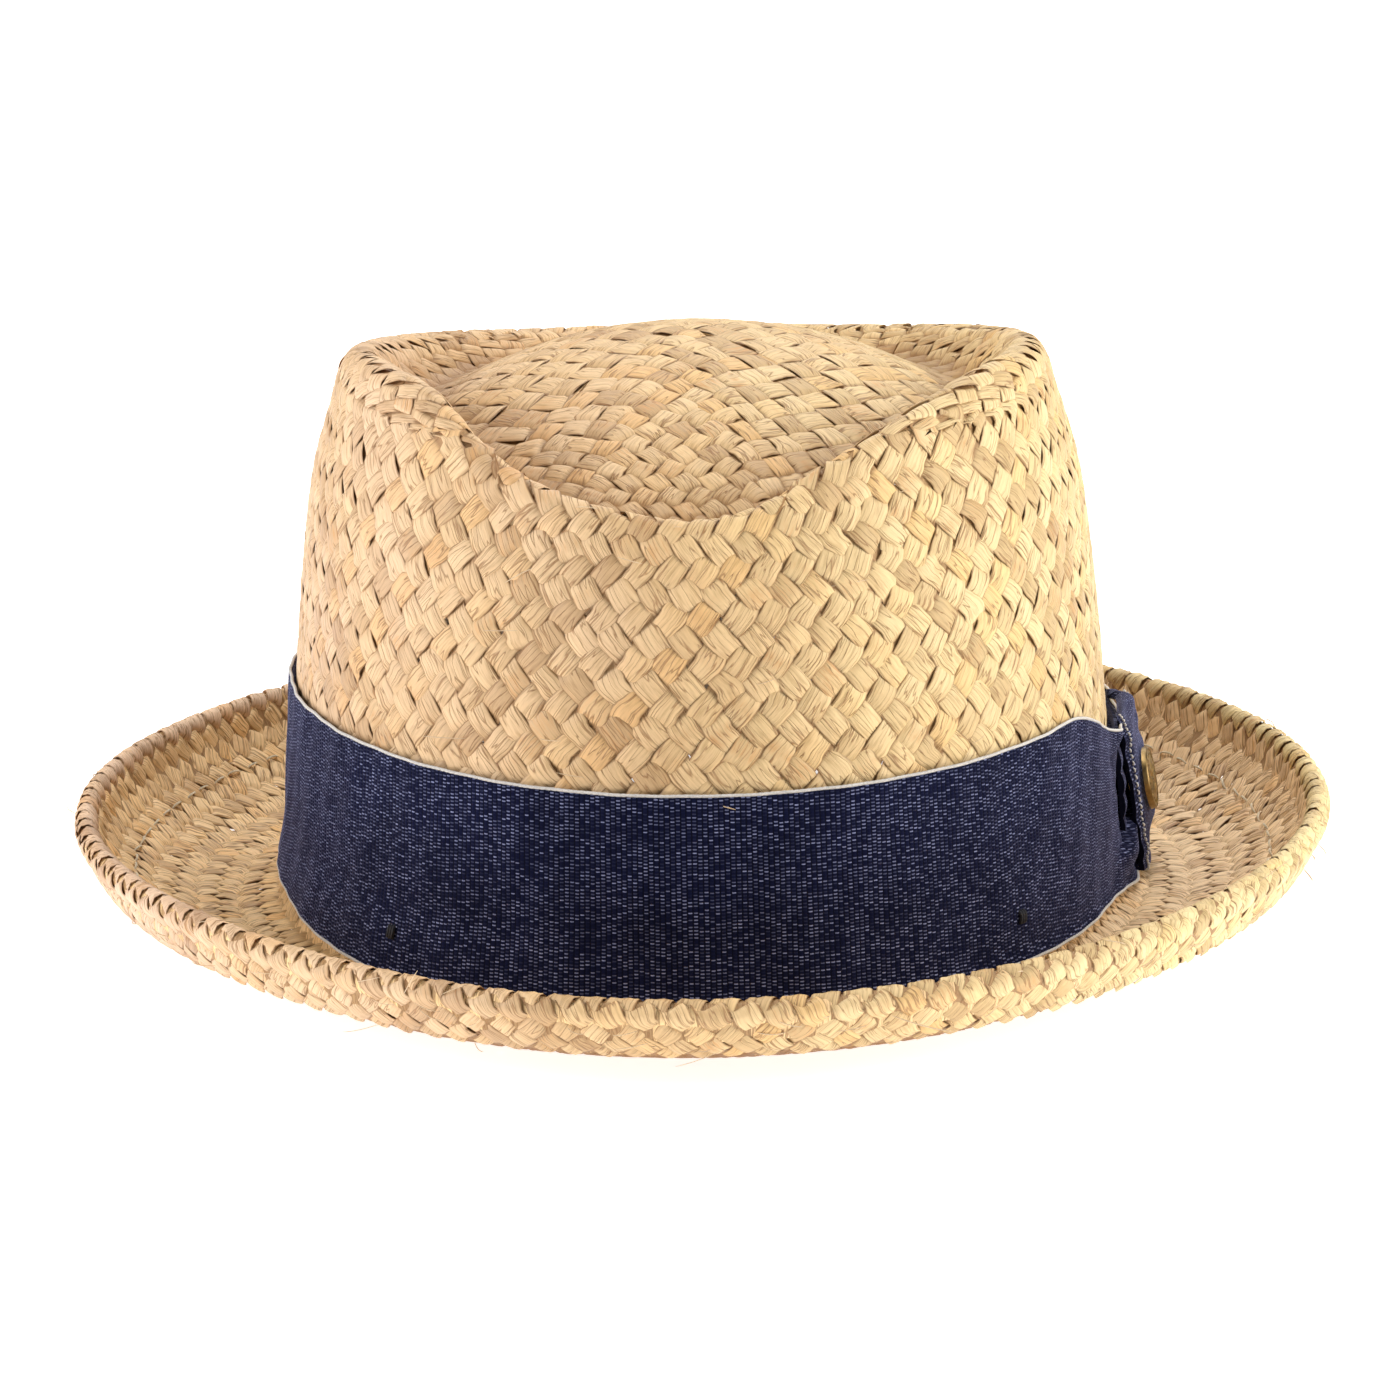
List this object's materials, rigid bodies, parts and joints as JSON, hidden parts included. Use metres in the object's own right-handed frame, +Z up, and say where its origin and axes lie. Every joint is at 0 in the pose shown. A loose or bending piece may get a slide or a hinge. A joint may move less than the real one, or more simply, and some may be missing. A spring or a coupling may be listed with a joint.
{
  "type": "straw fedora hat",
  "caption": "Hand-plaited straw fedora with a pinched teardrop crown, a short curled brim, a denim ribbon band with a side bow and a domed brass stud.",
  "frame": {"origin": "on the surface that the brim stands on, under the middle of the hat", "axes": "+Z up; -Y towards the front pinch; +X towards the wearer's left, where the bow is"},
  "size_m": [0.268, 0.3, 0.1221],
  "materials": {
    "straw": "plaited natural raffia, soft sheen",
    "ribbon": "ribbed navy chambray ribbon",
    "white_thread": "twisted off-white thread",
    "dark_thread": "twisted dark thread",
    "brass": "antiqued and burnished",
    "sweatband_cotton": "ribbed cotton",
    "label_cloth": "plain woven satin"
  },
  "bodies": {
    "hat": {"crown": "straw", "brim": "straw", "brim_hem": "straw", "brim_edge_braid": "straw", "brim_stitching": "white_thread", "hatband": "ribbon", "hatband_lower_cord": "white_thread", "hatband_upper_cord": "white_thread", "tack_stitches": "dark_thread", "bow_gather": "ribbon", "bow_keeper": "ribbon", "keeper_stitching": "white_thread", "sweatband": "sweatband_cotton", "sweatband_reed": "sweatband_cotton", "sweatband_stitching": "white_thread", "sweatband_seam_tape": "sweatband_cotton", "size_label": "label_cloth"},
    "stud": {"stud_cap": "brass", "stud_post": "brass", "stud_washer": "brass"}
  },
  "joints": [
    {"name": "stud_turn", "type": "hinge", "parent": "hat", "child": "stud", "pos_m": [0.08821, 0, 0.02], "axis": [0.9698, -0.171, 0.1736], "continuous": true}
  ]
}
